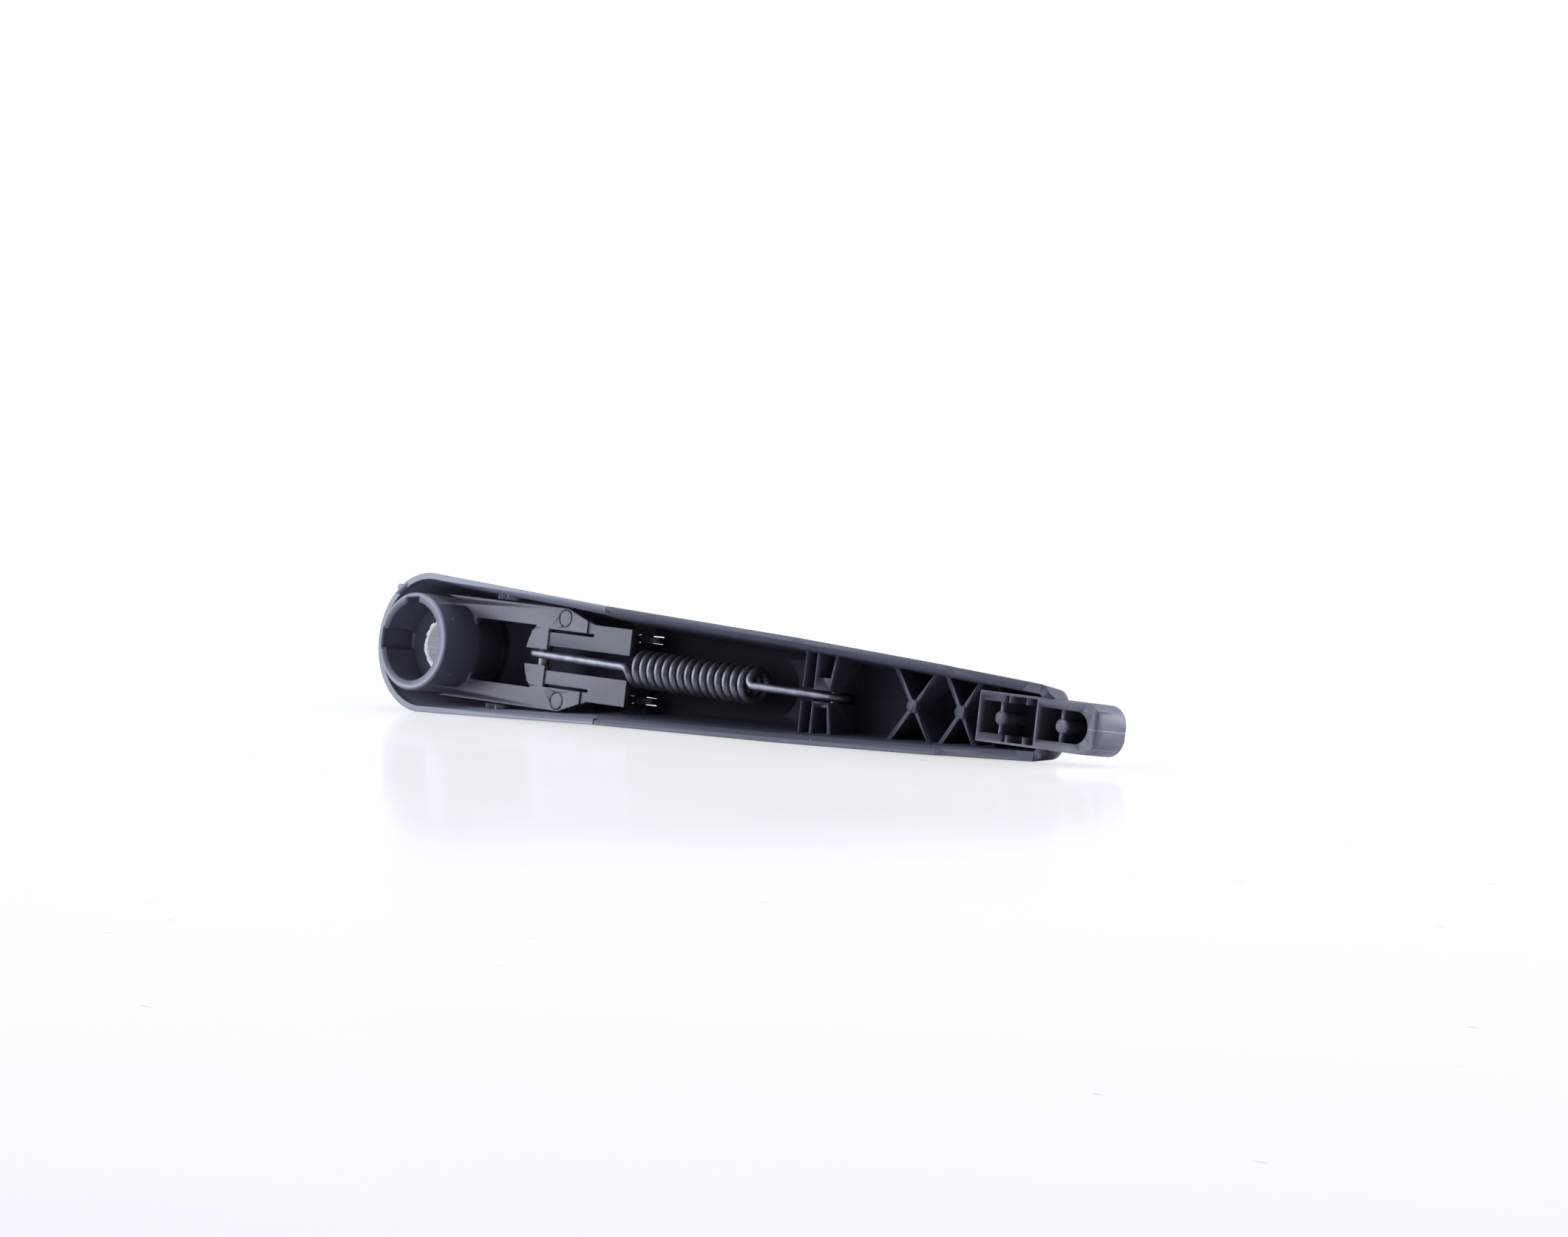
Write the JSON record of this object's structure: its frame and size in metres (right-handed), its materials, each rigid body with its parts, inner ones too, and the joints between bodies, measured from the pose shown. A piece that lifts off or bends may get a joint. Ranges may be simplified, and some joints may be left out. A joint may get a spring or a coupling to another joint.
{
  "type": "rear wiper arm",
  "caption": "Moulded rear wiper arm with hub collar, flip-up cover cap, ribbed channel, tension spring and blade adapter.",
  "frame": {"origin": "middle of the spindle bore in the hub insert, on its axis", "axes": "+X along the arm's centreline from the hub to the blade end; +Y from the open underside to the outer crown, so the hub's mouth faces -Y; +Z across the arm, up when the arm lies on its side as in the picture"},
  "size_m": [0.2379, 0.0249, 0.0348],
  "materials": {
    "cap_plastic": "fine-grained black moulding",
    "head_plastic": "satin dark grey moulding",
    "arm_plastic": "satin black moulding",
    "adapter_plastic": "satin grey-black moulding",
    "bright_steel": "machined, bright",
    "pin_steel": "drawn, dull zinc",
    "spring_steel": "dark drawn wire"
  },
  "bodies": {
    "head": {"arm_head": "head_plastic", "spindle_insert": "bright_steel", "hook_pin": "pin_steel"},
    "cap": {"cover_cap": "cap_plastic"},
    "arm": {"arm_shell": "arm_plastic", "hinge_pin": "pin_steel", "anchor_pin": "pin_steel", "tension_spring": "spring_steel", "blade_adapter": "adapter_plastic"}
  },
  "joints": [
    {"name": "arm_lift", "type": "hinge", "parent": "head", "child": "arm", "pos_m": [0.063, 0.00506, 0], "axis": [0, 0, 1], "range_deg": [0, 50], "stiffness_Nm_per_rad": 0.5, "springref_deg": -22.92, "deforming": ["tension_spring"]},
    {"name": "cap_flip", "type": "hinge", "parent": "head", "child": "cap", "pos_m": [0.063, 0.00506, 0], "axis": [0, 0, -1], "range_deg": [0, 50]}
  ]
}
